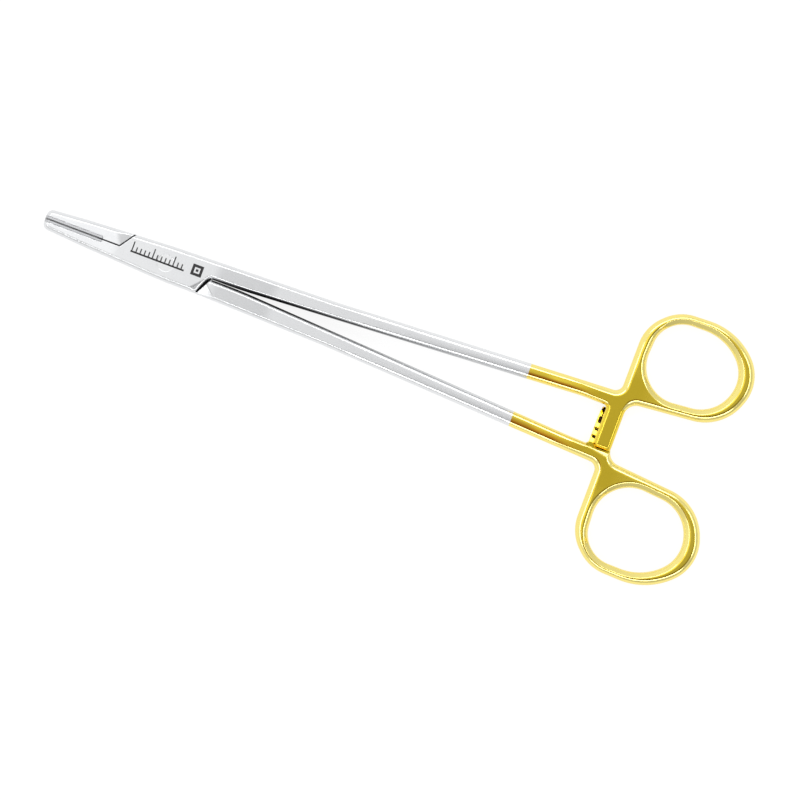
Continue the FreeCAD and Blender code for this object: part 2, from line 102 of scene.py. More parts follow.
class Outline:
    """A closed plan outline of straight runs joined by tangent arcs, in millimetres."""

    def __init__(self, corners: list[tuple[float, float, float]]) -> None:
        """Work out the runs and arcs.

        Each corner is rounded by an arc that touches both its runs: it leaves them at the radius over
        the tangent of half the corner's angle, and its centre is on the line that halves that angle.

        Args:
            corners: x, y and rounding of each corner, in either sense round.
        """
        given = np.array(corners, float)
        ahead = np.roll(given, -1, 0)
        area = np.sum(given[:, 0] * ahead[:, 1] - given[:, 1] * ahead[:, 0])
        if area < 0:
            given = given[::-1]
        point, radius = given[:, :2], given[:, 2]
        back = np.roll(point, 1, 0) - point
        onward = np.roll(point, -1, 0) - point
        back /= np.linalg.norm(back, axis=1)[:, None]
        onward /= np.linalg.norm(onward, axis=1)[:, None]
        half = np.arccos(np.clip(np.sum(back * onward, 1), -1, 1)) / 2
        away = back + onward
        away /= np.linalg.norm(away, axis=1)[:, None]
        self.radius = radius
        self.centre = point + away * (radius / np.sin(half))[:, None]
        arc_start = point + back * (radius / np.tan(half))[:, None]
        arc_end = point + onward * (radius / np.tan(half))[:, None]
        self.from_start = arc_start - self.centre
        self.from_end = arc_end - self.centre
        self.turn = np.sign(onward[:, 0] * -back[:, 1] + onward[:, 1] * back[:, 0]) * -1
        self.run_start = arc_end
        run = np.roll(arc_start, -1, 0) - arc_end
        self.run_length = np.linalg.norm(run, axis=1)
        self.run_way = run / self.run_length[:, None]

    def depth(self, x: Array, y: Array) -> Array:
        """How far inside the outline each point is, negative outside it.

        The nearest run or arc decides: a run by the point's distance to its left, an arc by the
        difference between its radius and the point's distance from its centre.

        Args:
            x: Places along the instrument.
            y: Places across it, of the same shape.

        Returns:
            The signed distances in millimetres.
        """
        x, y = x[..., None], y[..., None]
        dx, dy = x - self.run_start[:, 0], y - self.run_start[:, 1]
        along = dx * self.run_way[:, 0] + dy * self.run_way[:, 1]
        run_off = self.run_way[:, 0] * dy - self.run_way[:, 1] * dx
        beside = (along >= -1e-9) & (along <= self.run_length + 1e-9)
        dx, dy = x - self.centre[:, 0], y - self.centre[:, 1]
        arc_off = self.turn * (self.radius - np.hypot(dx, dy))
        after = self.turn * (self.from_start[:, 0] * dy - self.from_start[:, 1] * dx) >= -1e-9
        before = self.turn * (dx * self.from_end[:, 1] - dy * self.from_end[:, 0]) >= -1e-9
        off = np.concatenate([run_off, arc_off], -1)
        valid = np.concatenate([beside, after & before], -1)
        nearest = np.argmin(np.where(valid, np.abs(off), np.inf), -1)
        return np.take_along_axis(off, nearest[..., None], -1)[..., 0]


@dataclass
class LevelMesh:
    """The surface where a field is zero, as points and four-sided faces."""

    points: Array
    faces: NDArray[np.int64]
    normals: Array

    @staticmethod
    def slope(shape: Field, points: Array, reach: float = 0.01) -> tuple[Array, Array]:
        """The field and its slope at each point, by differences over a small reach."""
        value = shape(points[:, 0], points[:, 1], points[:, 2])
        slope = np.empty_like(points)
        for axis in range(3):
            step = np.zeros(3)
            step[axis] = reach
            ahead, behind = points + step, points - step
            slope[:, axis] = (shape(ahead[:, 0], ahead[:, 1], ahead[:, 2])
                              - shape(behind[:, 0], behind[:, 1], behind[:, 2])) / (2 * reach)
        return value, slope

    @classmethod
    def of(cls, shape: Field, xs: Array, ys: Array, zs: Array,
           lean: Callable[[Array], Array] = np.zeros_like, rounds: int = 2) -> "LevelMesh":
        """Mesh the field's zero surface on a grid.

        Every cell that the surface crosses gets one point, the mean of where the cell's twelve edges
        meet the surface. Every grid edge that it crosses gets one face, through the four cells round
        that edge. Each point is then moved down the field's slope until the field is zero there.

        Args:
            shape: The field, negative inside.
            xs: Grid planes along X in millimetres.
            ys: Grid planes along Y.
            zs: Grid planes along Z.
            lean: How far the planes across Y stand aside at each place along X.
            rounds: How often the points are moved onto the surface.

        Returns:
            The mesh, with each point's outward normal.
        """
        axes = (xs, ys, zs)
        leaning = ys[None, :, None] + lean(xs)[:, None, None]
        values = shape(xs[:, None, None], leaning, zs[None, None, :])
        inside = values < 0
        nx, ny, nz = (count - 1 for count in inside.shape)
        filled = sum(inside[i:i + nx, j:j + ny, k:k + nz].astype(np.int8)
                     for i in (0, 1) for j in (0, 1) for k in (0, 1))
        cells = np.nonzero((filled > 0) & (filled < 8))
        number = np.full(filled.shape, -1, np.int64)
        number[cells] = np.arange(len(cells[0]))
        total = np.zeros((len(cells[0]), 3))
        hits = np.zeros(len(cells[0]))
        for axis in range(3):
            others = [a for a in range(3) if a != axis]
            for p in (0, 1):
                for q in (0, 1):
                    low = [c.copy() for c in cells]
                    low[others[0]] += p
                    low[others[1]] += q
                    high = [c.copy() for c in low]
                    high[axis] += 1
                    a, b = values[tuple(low)], values[tuple(high)]
                    crossed = (a < 0) != (b < 0)
                    share = a[crossed] / (a[crossed] - b[crossed])
                    for each in range(3):
                        start = axes[each][low[each][crossed]]
                        end = axes[each][high[each][crossed]]
                        total[crossed, each] += start + (end - start) * share
                    hits[crossed] += 1
        points = total / hits[:, None]
        points[:, 1] += lean(points[:, 0])
        faces = []
        for axis in range(3):
            u, v = [(1, 2), (2, 0), (0, 1)][axis]
            low = np.take(inside, range(inside.shape[axis] - 1), axis)
            high = np.take(inside, range(1, inside.shape[axis]), axis)
            edge = list(np.nonzero(low != high))
            keep = np.ones(len(edge[0]), bool)
            for other in (u, v):
                keep &= (edge[other] > 0) & (edge[other] < inside.shape[other] - 1)
            edge = [e[keep] for e in edge]
            ring = []
            for p, q in ((1, 1), (0, 1), (0, 0), (1, 0)):
                corner = [e.copy() for e in edge]
                corner[u] -= p
                corner[v] -= q
                ring.append(number[tuple(corner)])
            quads = np.stack(ring, 1)
            outward = low[tuple(edge)]
            quads[~outward] = quads[~outward][:, ::-1]
            faces.append(quads)
        largest = min(np.diff(a).min() for a in axes) * 0.5
        for _ in range(rounds):
            value, slope = cls.slope(shape, points)
            move = slope * (value / np.maximum(np.sum(slope * slope, 1), 1e-6))[:, None]
            length = np.linalg.norm(move, axis=1)
            points = points - move * np.minimum(1.0, largest / np.maximum(length, 1e-9))[:, None]
        _, slope = cls.slope(shape, points, 0.12)
        normals = slope / np.maximum(np.linalg.norm(slope, axis=1), 1e-9)[:, None]
        return cls(points, np.concatenate(faces), normals)

    def make(self, name: str) -> bpy.types.Object:
        """Put the surface into a new object, in metres, shaded by the field's own normals.

        Args:
            name: The piece's plain name.

        Returns:
            The object, at the origin.
        """
        mesh = bpy.data.meshes.new(name)
        mesh.vertices.add(len(self.points))
        mesh.vertices.foreach_set("co", (self.points * MM).astype(np.float32).ravel())
        mesh.loops.add(self.faces.size)
        mesh.loops.foreach_set("vertex_index", self.faces.astype(np.int32).ravel())
        mesh.polygons.add(len(self.faces))
        mesh.polygons.foreach_set("loop_start", np.arange(0, self.faces.size, 4, dtype=np.int32))
        mesh.polygons.foreach_set("use_smooth", np.ones(len(self.faces), bool))
        mesh.update(calc_edges=True)
        mesh.validate()
        mesh.normals_split_custom_set_from_vertices(self.normals.tolist())
        piece = bpy.data.objects.new(name, mesh)
        bpy.context.scene.collection.objects.link(piece)
        return piece


def planes(*runs: tuple[float, float, float]) -> Array:
    """Grid planes for one axis: each run is a start, an end and a spacing, one after the other."""
    parts = []
    for start, end, spacing in runs:
        count = max(2, round((end - start) / spacing) + 1)
        parts.append(np.linspace(start, end, count)[:-1])
    return np.append(np.concatenate(parts), runs[-1][1])


def rounded_slab(depth: Array, z: Array, low: Array, high: Array, plan: Array, rise: Array,
                 power: Array) -> Array:
    """A slab between two levels whose edges are rounded.

    With u the share of the plan rounding that is left at a depth inside the outline, and v the share
    of the rise that is used at a height, the surface is where u and v, each raised to the power, add
    up to one. A power of 2 is a quarter of an ellipse and a power near 1 is a flat chamfer.

    Args:
        depth: Distance inside the plan outline.
        z: Height.
        low: The slab's lower level.
        high: The slab's upper level.
        plan: How far in the rounding reaches.
        rise: How far down the side it reaches.
        power: The rounding's power.

    Returns:
        The field, about in millimetres near the surface.
    """
    middle, half = (low + high) / 2, (high - low) / 2
    u = ramp(1 - depth / plan, 0.05)
    v = ramp((np.abs(z - middle) - (half - rise)) / rise, 0.05)
    return ((u ** power + v ** power) ** (1 / power) - 1) * rise


class Side(Enum):
    """Which of the two forged halves: the one with the box, or the one with the tang."""

    BOX = 1
    TANG = -1


@dataclass(frozen=True)
class Lock:
    """Sizes of the box lock and the jaws, in millimetres from the hinge axis."""

    reach: float = -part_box("box_half")[0].x / MM
    height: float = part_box("box_half")[1].z / MM
    tip_height: float = 3.0
    taper_start: float = 14.6
    tip_half_width: float = 2.75
    tip_corner: float = 1.8
    middle: float = 24.0
    middle_half_width: float = 3.65
    half_width: float = 5.0
    hub: float = 4.6
    front: float = 13.4
    front_outer: float = 10.2
    rear: float = 13.1
    rear_outer: float = 10.3
    gap: float = 0.12
    seam: float = 0.03
    tang_half_height: float = 1.25
    tang_gap: float = 0.05
    travel: float = 38.0
    pin: float = 1.6
    pin_head: float = 2.3
    pin_head_depth: float = 0.6
    insert_length: float = 16.8
    insert_depth: float = 0.8


@dataclass(frozen=True)
class Handle:
    """Sizes of one half's shank, ratchet bar and ring, in millimetres, as for the upper half."""

    side: Side
    crotch: float
    shank_outer: float
    shank_inner: float
    shoulder: float
    bar_left: float
    bar_end: float
    bar_corner: float
    ring_x: float
    ring_y: float
    ring_scale: float
    split: float = 21.5
    bend_x: float = 48.0
    window_end: float = 120.0
    bar_right: float = 132.4
    bar_root: float = 5.8
    bar_step: float = 0.4
    throat: float = 3.6
    throat_drop: float = 16.3
    rim_near: float = -16.85
    neck: float = 2.2
    gentle: float = 150.0

    def hole(self) -> list[tuple[float, float, float]]:
        """Corners of the finger ring's hole, as x, y and rounding."""
        corners = [(-7.9, 9.65, 8.7), (4.9, 9.85, 14.6), (13.45, 1.6, 9.4), (9.75, -10.8, 10.2),
                   (-6.8, -12.3, 9.85), (-13.4, -5.75, 9.95), (-12.8, 5.0, 8.2)]
        return [self.place(x, y, r) for x, y, r in corners]

    def place(self, x: float, y: float, rounding: float) -> tuple[float, float, float]:
        """Bring a corner from the ring's middle to its place on the instrument."""
        scale = self.ring_scale
        return self.ring_x + x * scale, self.side.value * (self.ring_y + y * scale), rounding * scale

    def shank_edge(self, outer: bool) -> tuple[float, float, float]:
        """The shank's straight inner or outer edge, as a start along X, the Y there and a slope."""
        s = self.side.value
        if outer:
            end = self.place(self.rim_near, 0.0, 0.0)[0]
            rise = s * (self.shoulder - self.shank_outer)
            return self.bend_x, s * self.shank_outer, rise / (end - self.bend_x)
        rise = s * self.shank_inner - self.crotch
        return self.split, self.crotch, rise / (self.window_end - self.split)

    def across(self, x: Array, y: Array) -> Array:
        """Place across the shank: 0 at its middle, and 1 and -1 at its two edges."""
        (x0, y0, slope0), (x1, y1, slope1) = self.shank_edge(False), self.shank_edge(True)
        inner, outer = y0 + slope0 * (x - x0), y1 + slope1 * (x - x1)
        return (2 * y - inner - outer) / (outer - inner)

    def outline(self) -> list[tuple[float, float, float]]:
        """Corners from the crotch along the inner edge, round the bar and the ring, and back."""
        s = self.side.value
        throat_y = self.ring_y - self.throat_drop * self.ring_scale
        rim = [(12.9, -13.9, 13.6), (18.8, 2.0, 11.8), (7.5, 13.1, 18.8), (-9.3, 12.45, 11.8),
               (self.rim_near, 5.4, 11.8)]
        rim = [self.place(x, y, r) for x, y, r in rim]
        return [
            (self.split, self.crotch, self.gentle),
            (self.window_end, s * self.shank_inner, 25.0),
            (self.bar_left, s * self.bar_root, 1.0),
            (self.bar_left, -s * self.bar_end, self.bar_corner),
            (self.bar_right, -s * self.bar_end, self.bar_corner),
            (self.bar_right, s * throat_y, self.throat),
            *rim,
            (rim[-1][0], s * self.shoulder, self.neck),
            (self.bend_x, s * self.shank_outer, self.gentle),
        ]


BOX_HANDLE = Handle(Side.BOX, 0.2, 6.35, 5.9, 10.65, 127.2, 6.1, 1.4, 146.3, 24.7, 1.0)
TANG_HANDLE = Handle(Side.TANG, 0.1, 6.05, 5.6, 10.3, 126.0, 5.8, 0.6, 147.5, 24.9, 1.025)


@dataclass(frozen=True)
class Facet:
    """A facet ground into both faces of the jaws or the box, sloping down beyond a line in plan.

    The line runs from low to high and the facet lies to its right, within a span along X.
    """

    low: tuple[float, float]
    high: tuple[float, float]
    slope: float
    start: float
    end: float
    upper: float = math.inf
    crease: float = 0.08


CHEEK_FACET = Facet((8.4, -4.1), (12.5, 0.3), 0.27, 6.0, 14.0, upper=0.6, crease=0.1)
REAR_FACET = Facet((13.1, -1.8), (15.7, -4.2), 0.28, 8.0, 17.0)
FRONT_FACET = Facet((-13.4, 0.5), (-15.8, 3.2), 0.12, -18.0, -8.0)


@dataclass
class ForgedHalf:
    """What both forged halves share: their levels, their edges and their ratchet bar."""

    handle: Handle
    lock: Lock = field(default_factory=Lock)
    handle_height: float = 4.8
    shank_height: float = 4.3
    edge: float = 1.1
    edge_rise: float = 1.4
    ring_edge: float = 1.9
    lap_gap: float = 0.1
    tooth_pitch: float = 2.2
    tooth_depth: float = 0.7
    tooth_land: float = 0.25
    tooth_first: float = 3.4
    crease: float = 0.16
    ratchet_crease: float = 0.12
    crown: float = 0.3
    facet_reach: float = 0.1
    facet_slope: float = 0.36
    cone_reach: float = 1.5
    cone_slope: float = 0.84
    facet_clear: float = 0.8
    cone_clear: float = 1.5

    def top(self, x: Array) -> Array:
        """The upper level along the instrument: straight slopes with a soft bend at each change."""
        lock = self.lock
        rise = (lock.height - lock.tip_height) / 2 / (lock.reach - lock.taper_start)
        shoulder = (lock.height + self.shank_height) / 2
        shank = (self.handle_height + self.shank_height) / 2
        return self.levels(x, lock.height, rise, shoulder, shank, self.handle_height)

    def bottom(self, x: Array) -> Array:
        """The lower level along the instrument."""
        lock = self.lock
        rise = (lock.height - lock.tip_height) / 2 / (lock.reach - lock.taper_start)
        shoulder = (lock.height - self.shank_height) / 2
        shank = (self.handle_height - self.shank_height) / 2
        return self.levels(x, 0.0, -rise, shoulder, shank, 0.0)

    def levels(self, x: Array, box: float, rise: float, shoulder: float, shank: float,
               handle: float) -> Array:
        """A level that starts at the box's, and changes slope at five places.

        Args:
            x: Places along the instrument.
            box: The level at the box.
            rise: The slope of the jaws towards the box.
            shoulder: The level where the shanks reach their height.
            shank: The level where they end.
            handle: The level of the handles.

        Returns:
            The level at each place.
        """
        places = [-self.lock.taper_start, self.lock.taper_start, 31.0, 110.0, 123.0]
        slopes = [rise, 0.0, (shoulder - box) / (places[2] - places[1]),
                  (shank - shoulder) / (places[3] - places[2]),
                  (handle - shank) / (places[4] - places[3]), 0.0]
        level = box + rise * (x - places[0])
        for place, before, after in zip(places, slopes, slopes[1:]):
            level = level + (after - before) * ramp(x - place, 1.2)
        return level

    def envelope(self, x: Array, y: Array, z: Array) -> Array:
        """The half's blank: its outline between its levels, edges rounded, with the ring's hole.

        The rounding is a near-flat chamfer on the steel and grows to a round section on the ring,
        where it takes up half the band's width, the mean of the distances to its two edges. Towards
        the handle the shanks are crowned: they fall off by the square of the place across them. A
        narrow facet, where the shank was lapped, lies between its flat and its rounded edge. The
        ring's hole widens upwards and downwards in a cone. Where there is no facet or no cone, it
        stands clear of the surface.
        """
        plan_x, plan_y = np.broadcast_arrays(x, y)
        outer = self.outline.depth(plan_x, plan_y)
        hole = -self.hole.depth(plan_x, plan_y)
        depth = np.minimum(outer, hole)
        gold = smooth_step(x, 116.0, 127.0) * smooth_step(np.abs(y), 6.5, 9.5)
        widest = self.edge + (self.ring_edge - self.edge) * gold
        band = np.clip((outer + hole) / 2, 0.6, None)
        plan = smooth_least(band, widest, 0.3)
        rise = self.edge_rise + (self.handle_height / 2 - self.edge_rise) * gold
        power = 1.5 + 0.5 * gold
        crown = self.crown * smooth_step(x, 50.0, 100.0) * (1 - smooth_step(x, 116.0, 126.0))
        fall = crown * np.clip(self.handle.across(x, y), -1.2, 1.2) ** 2
        top, bottom = self.top(x), self.bottom(x)
        slab = rounded_slab(depth, z, bottom + fall, top - fall, plan, rise, power)
        bar = smooth_step(x, 121.0, 125.0) * (1 - smooth_step(np.abs(y), 6.5, 8.5))
        lapped = smooth_step(x, 36.0, 58.0) * (1 - gold) * (1 - bar)
        level = np.maximum(z - top, bottom - z)
        facet = (level + crown / 4 + self.facet_slope * (plan + self.facet_reach - depth)
                 - self.facet_clear * (1 - lapped))
        cone = (level + self.cone_slope * (self.cone_reach - hole)
                - self.cone_clear * (1 - smooth_step(x, 128.0, 136.0)))
        return smooth_most(smooth_most(slab, facet, 0.05), cone, 0.06)

    @staticmethod
    def beyond(x: Array, y: Array, low: tuple[float, float], high: tuple[float, float]) -> Array:
        """Signed distance to the right of a line in plan, seen from its lower to its upper end."""
        run_x, run_y = high[0] - low[0], high[1] - low[1]
        return ((x - low[0]) * run_y - (y - low[1]) * run_x) / math.hypot(run_x, run_y)

    def ground(self, body: Array, x: Array, y: Array, z: Array, facet: Facet) -> Array:
        """The body with one facet ground off its upper and its lower face."""
        fall = facet.slope * self.beyond(x, y, facet.low, facet.high)
        near = (x > facet.start) & (x < facet.end) & (y < facet.upper)
        for level, sign in ((self.top(x), 1.0), (self.bottom(x), -1.0)):
            body = smooth_most(body, np.where(near, sign * (z - level) + fall, -1.0), facet.crease)
        return body

    def ratchet(self, x: Array, y: Array, z: Array, far_y: float) -> Array:
        """What is taken off the bar: the other bar's half of the height, with saw teeth.

        The teeth repeat every pitch across the instrument. Each rises steeply by its depth and falls
        in a straight slope to a small land.
        """
        s = self.handle.side.value
        face = self.handle_height / 2 + s * self.lap_gap / 2
        along = s * (y - self.tooth_first)
        notches = 4
        run = self.tooth_pitch - self.tooth_land
        place = np.mod(along, self.tooth_pitch)
        tooth = np.clip(1 - place / run, 0.0, None) * self.tooth_depth
        first = -self.tooth_pitch * (notches - 1) if s > 0 else 0.0
        cut = (along > first) & (along < first + self.tooth_pitch * (notches - 1) + run)
        level = face + s * np.where(cut, tooth, 0.0)
        step = self.handle.bar_step
        sides = np.minimum(x - (TANG_HANDLE.bar_left - step), BOX_HANDLE.bar_right + step - x)
        return np.minimum(np.minimum(sides, s * (far_y - y)), s * (level - z))

    def lean(self, x: Array) -> Array:
        """How far the grid stands aside: its planes run along the middle of the shank's two edges."""
        handle = self.handle
        slope = (handle.shank_edge(False)[2] + handle.shank_edge(True)[2]) / 2
        return slope * (np.clip(x, handle.split, handle.window_end) - handle.split)

    def mesh(self) -> LevelMesh:
        """The half's surface, on a grid that is fine at the lock and handle and coarse between."""
        handle = self.handle
        xs = planes((-36.2, -32.6, 0.2), (-32.6, -17.0, 0.45), (-17.0, -9.0, 0.24), (-9.0, -2.8, 0.4),
                    (-2.8, 2.8, 0.17), (2.8, 8.0, 0.4), (8.0, handle.split, 0.2),
                    (handle.split, 104.0, 0.7), (104.0, handle.window_end, 0.5),
                    (handle.window_end, 168.8, 0.25))
        ys = planes((-12.5, -5.6, 0.28), (-5.6, -2.8, 0.2), (-2.8, 2.8, 0.17), (2.8, 5.6, 0.16),
                    (5.6, 34.9, 0.25))
        zs = planes((-0.33, 5.73, 0.21))
        return LevelMesh.of(self.shape, xs, ys if handle.side.value > 0 else -ys[::-1], zs, self.lean)


@dataclass
class BoxHalf(ForgedHalf):
    """The half with the box: lower jaw, cheeks with the slot between them, upper shank and ring."""

    handle: Handle = BOX_HANDLE

    def __post_init__(self) -> None:
        """Make the outlines: the whole closed jaws and box, as they are ground together."""
        k = self.lock
        jaws = [(-k.reach, -k.tip_half_width, k.tip_corner), (-k.middle, -k.middle_half_width, 150.0),
                (0.0, -k.half_width, 150.0), (k.rear_outer, -k.half_width, 1.3), (k.rear, 0.2, 0.4)]
        back = [(0.0, k.half_width, 150.0), (-k.middle, k.middle_half_width, 150.0),
                (-k.reach, k.tip_half_width, k.tip_corner)]
        self.outline = Outline(jaws + self.handle.outline() + back)
        self.hole = Outline(self.handle.hole())
        self.slot = Outline([(p[0], p[1], 0.1) for p in self.slot_corners()])

    def slot_corners(self) -> list[tuple[float, float]]:
        """Corners of the tang's way through the box.

        Two wedges stay beside it. One side of a wedge lies along the closed tang, and the other along
        the tang at its widest opening.
        """
        k = self.lock
        wall, far = k.hub + k.gap, 3 * k.half_width
        corners = []
        for (sx, sy), half_turn in (((k.rear, 0.1), 0.0), ((-k.front, k.seam), 180.0)):
            length = math.hypot(sx, sy)
            closed = math.atan2(sy, sx) + math.acos(k.hub / length)
            opened = math.radians(90 + half_turn - k.travel)
            across, along = math.radians(90 + half_turn), math.radians(half_turn)
            corners.append(self.meet(opened, wall, across, far))
            corners.append(self.meet(opened, wall, closed, wall))
            corners.append(self.meet(closed, wall, along, far * 1.2))
            corners.append(self.meet(along, far * 1.2, across, -far))
        return corners

    @staticmethod
    def meet(angle_a: float, reach_a: float, angle_b: float, reach_b: float) -> tuple[float, float]:
        """Where two lines cross, each given by its normal's angle and its distance from the axis."""
        turn = math.sin(angle_b - angle_a)
        x = (reach_a * math.sin(angle_b) - reach_b * math.sin(angle_a)) / turn
        y = (reach_b * math.cos(angle_a) - reach_a * math.cos(angle_b)) / turn
        return x, y

    def parting(self, x: Array, y: Array) -> Array:
        """Positive in the upper jaw's place: above the seam and left of the front shoulder."""
        k = self.lock
        run_x, run_y = k.front - k.front_outer, k.hub
        length = math.hypot(run_x, run_y)
        left = ((y + k.seam) * run_x - (x + k.front) * run_y) / length
        return np.minimum(y + k.seam, left)

    def shape(self, x: Array, y: Array, z: Array) -> Array:
        """The field of the whole half, negative inside the metal."""
        k = self.lock
        plan_x, plan_y = np.broadcast_arrays(x, y)
        middle = k.height / 2
        body = smooth_most(self.envelope(x, y, z), self.parting(x, y), self.crease)
        tang_way = np.minimum(self.slot.depth(plan_x, plan_y),
                              k.tang_half_height + k.tang_gap - np.abs(z - middle))
        near_lock = np.where(np.abs(x) < 30, tang_way, -1.0)
        body = smooth_most(body, near_lock, 0.1)
        seat = np.minimum(y + k.seam + k.insert_depth, -k.reach + k.insert_length - x)
        body = smooth_most(body, seat, 0.1)
        head = k.pin_head - np.clip(np.minimum(z, k.height - z), 0.0, k.pin_head_depth) \
            * (k.pin_head - k.pin) / k.pin_head_depth
        body = smooth_most(body, head - np.hypot(x, y), 0.05)
        body = self.ground(body, x, y, z, CHEEK_FACET)
        far = TANG_HANDLE.bar_end + TANG_HANDLE.bar_step
        return smooth_most(body, self.ratchet(x, y, z, far), self.ratchet_crease)


@dataclass
class TangHalf(ForgedHalf):
    """The half with the tang: upper jaw, the thin tang inside the box, lower shank and ring."""

    handle: Handle = TANG_HANDLE
    bevel_slope: float = 0.36

    def __post_init__(self) -> None:
        """Make the outlines: the closed jaws, and the sharp plan of the tang inside the box."""
        k = self.lock
        jaws = [(-k.reach, k.tip_half_width, k.tip_corner), (-k.reach, -k.tip_half_width, k.tip_corner),
                (-k.middle, -k.middle_half_width, 150.0), (0.0, -k.half_width, 150.0)]
        front = [(k.rear_outer, -k.half_width, 150.0)]
        back = [(k.rear, 0.1, 0.2), (k.rear - 2, k.half_width + 0.3, 0.5), (0.0, k.half_width, 150.0),
                (-k.middle, k.middle_half_width, 150.0)]
        handle = self.handle.outline()
        self.outline = Outline(jaws + front + handle[::-1] + back)
        self.hole = Outline(self.handle.hole())
        rear_slope = math.atan2(0.1, k.rear) + math.acos(k.hub / math.hypot(k.rear, 0.1))
        hub_rear = k.hub * math.tan((math.pi / 2 - rear_slope) / 2)
        hub_front = k.hub * math.tan((math.pi / 2 - math.acos(k.hub / k.front)) / 2)
        self.plan = Outline([
            (-k.front, k.seam, 0.1), (-45.0, k.seam, 0.1), (-45.0, 12.0, 0.1), (-k.front_outer, 12.0, 0.1),
            (-k.front_outer, k.hub, 0.1), (hub_rear, k.hub, k.hub), (k.rear, 0.1, 3.75), (24.0, 0.1, 0.1),
            (24.0, 20.0, 0.1), (180.0, 20.0, 0.1), (180.0, -60.0, 0.1), (k.rear_outer, -60.0, 0.1),
            (k.rear_outer, -k.half_width, 0.1), (k.rear_outer - 0.3, -k.hub, 0.05),
            (-hub_front, -k.hub, k.hub)])

    def shape(self, x: Array, y: Array, z: Array) -> Array:
        """The field of the whole half, negative inside the metal."""
        k = self.lock
        plan_x, plan_y = np.broadcast_arrays(x, y)
        middle = k.height / 2
        right_of_front = self.beyond(x, y, (-k.front, 0.0), (-k.front_outer, k.hub)) + k.gap
        left_of_rear = k.gap - self.beyond(x, y, (k.rear_outer, -k.half_width), (k.rear, 0.15))
        between = np.minimum(right_of_front, left_of_rear)
        room = np.minimum(between, np.abs(z - middle) - k.tang_half_height)
        body = smooth_most(self.envelope(x, y, z), room, self.crease)
        near = np.where(x < 30, -self.plan.depth(plan_x, plan_y), -1.0)
        body = smooth_most(body, near, 0.1)
        seat = np.minimum(k.seam + k.insert_depth - y, -k.reach + k.insert_length - x)
        body = smooth_most(body, seat, 0.1)
        body = np.maximum(body, k.pin + 0.03 - np.hypot(x, y))
        for facet in (REAR_FACET, FRONT_FACET):
            body = self.ground(body, x, y, z, facet)
        bevel = z - self.top(x) - self.bevel_slope * self.beyond(x, y, (119.5, -5.5), (133.2, -7.95))
        body = smooth_most(body, np.where((x > 120) & (x < 136) & (y > -9), bevel, -1.0), 0.1)
        far = -(BOX_HANDLE.bar_end + BOX_HANDLE.bar_step)
        return smooth_most(body, self.ratchet(x, y, z, far), self.ratchet_crease)


@dataclass
class JawInsert:
    """A hard metal insert: a plate along the jaw whose face is cut into rows of small pyramids."""

    half: ForgedHalf
    pitch: float = 0.5
    groove: float = 0.13
    face: float = 0.006
    grid_step: float = 0.075

    def shape(self, x: Array, y: Array, z: Array) -> Array:
        """The field of the plate.

        Its outside follows the jaw. Its face stands back from the seam by a groove's depth times the
        greater of two triangle waves that run along the two diagonals, which leaves pyramids. The
        rear end of the face is plain.
        """
        k = self.half.lock
        s = -self.half.handle.side.value
        a = np.abs(np.mod((x + z) / self.pitch, 1.0) - 0.5) * 2
        b = np.abs(np.mod((x - z) / self.pitch, 1.0) - 0.5) * 2
        plain = smooth_step(x, -k.reach + k.insert_length - 1.3, -k.reach + k.insert_length - 1.0)
        back = self.groove * np.maximum(a, b) * (1 - plain)
        off = s * y - self.face
        plate = np.maximum(back - off, off - k.insert_depth + 0.01)
        plate = np.maximum(plate, x + k.reach - k.insert_length + 0.01)
        return smooth_most(self.half.envelope(x, y, z), plate, 0.08)

    def mesh(self) -> LevelMesh:
        """The plate's surface on a grid of its own."""
        k = self.half.lock
        s = -self.half.handle.side.value
        xs = planes((-k.reach - 0.2, -k.reach + k.insert_length + 0.2, self.grid_step))
        ys = planes((-0.05, k.insert_depth + 0.15, self.grid_step))
        zs = planes((-0.1, k.height + 0.1, self.grid_step))
        return LevelMesh.of(self.shape, xs, ys if s > 0 else -ys[::-1], zs)


def add_node(tree: Tree, kind: str, inputs: dict | None = None, **settings: object) -> bpy.types.Node:
    """Add a node with its settings, numbers and links.

    Args:
        tree: The material's node tree.
        kind: The node's type name.
        inputs: A number, a colour or another node's output socket for each input, by name or place.
        **settings: The node's own properties.

    Returns:
        The new node.
    """
    node = tree.nodes.new(kind)
    for name, value in settings.items():
        setattr(node, name, value)
    for key, value in (inputs or {}).items():
        socket = node.inputs[key]
        if isinstance(value, Socket):
            tree.links.new(value, socket)
        else:
            socket.default_value = value
    return node


def calc(tree: Tree, operation: str, *values: Socket | float) -> Socket:
    """The result of one arithmetic node."""
    return add_node(tree, "ShaderNodeMath", dict(enumerate(values)), operation=operation).outputs[0]


def remap(tree: Tree, value: Socket, low: float, high: float, start: float = 0.0,
          end: float = 1.0) -> Socket:
    """A value brought from the range low to high to the range start to end, and held at its ends."""
    inputs = {0: value, 1: low, 2: high, 3: start, 4: end}
    return add_node(tree, "ShaderNodeMapRange", inputs).outputs[0]


def blend(tree: Tree, share: Socket, first: Socket | tuple, second: Socket | tuple) -> Socket:
    """The first colour turned into the second one by a share."""
    inputs = {0: share, 6: first, 7: second}
    return add_node(tree, "ShaderNodeMix", inputs, data_type="RGBA").outputs[2]


def mix(tree: Tree, share: Socket, first: Socket, second: Socket) -> Socket:
    """The first value turned into the second one by a share."""
    inputs = {0: share, 2: first, 3: second}
    return add_node(tree, "ShaderNodeMix", inputs, data_type="FLOAT").outputs[0]


def noise(tree: Tree, place: Socket, size: float, detail: float) -> Socket:
    """A cloud of values about one half, whose blotches have a size in millimetres."""
    inputs = {"Vector": place, "Scale": 1 / (size * MM), "Detail": detail}
    return add_node(tree, "ShaderNodeTexNoise", inputs).outputs["Fac"]


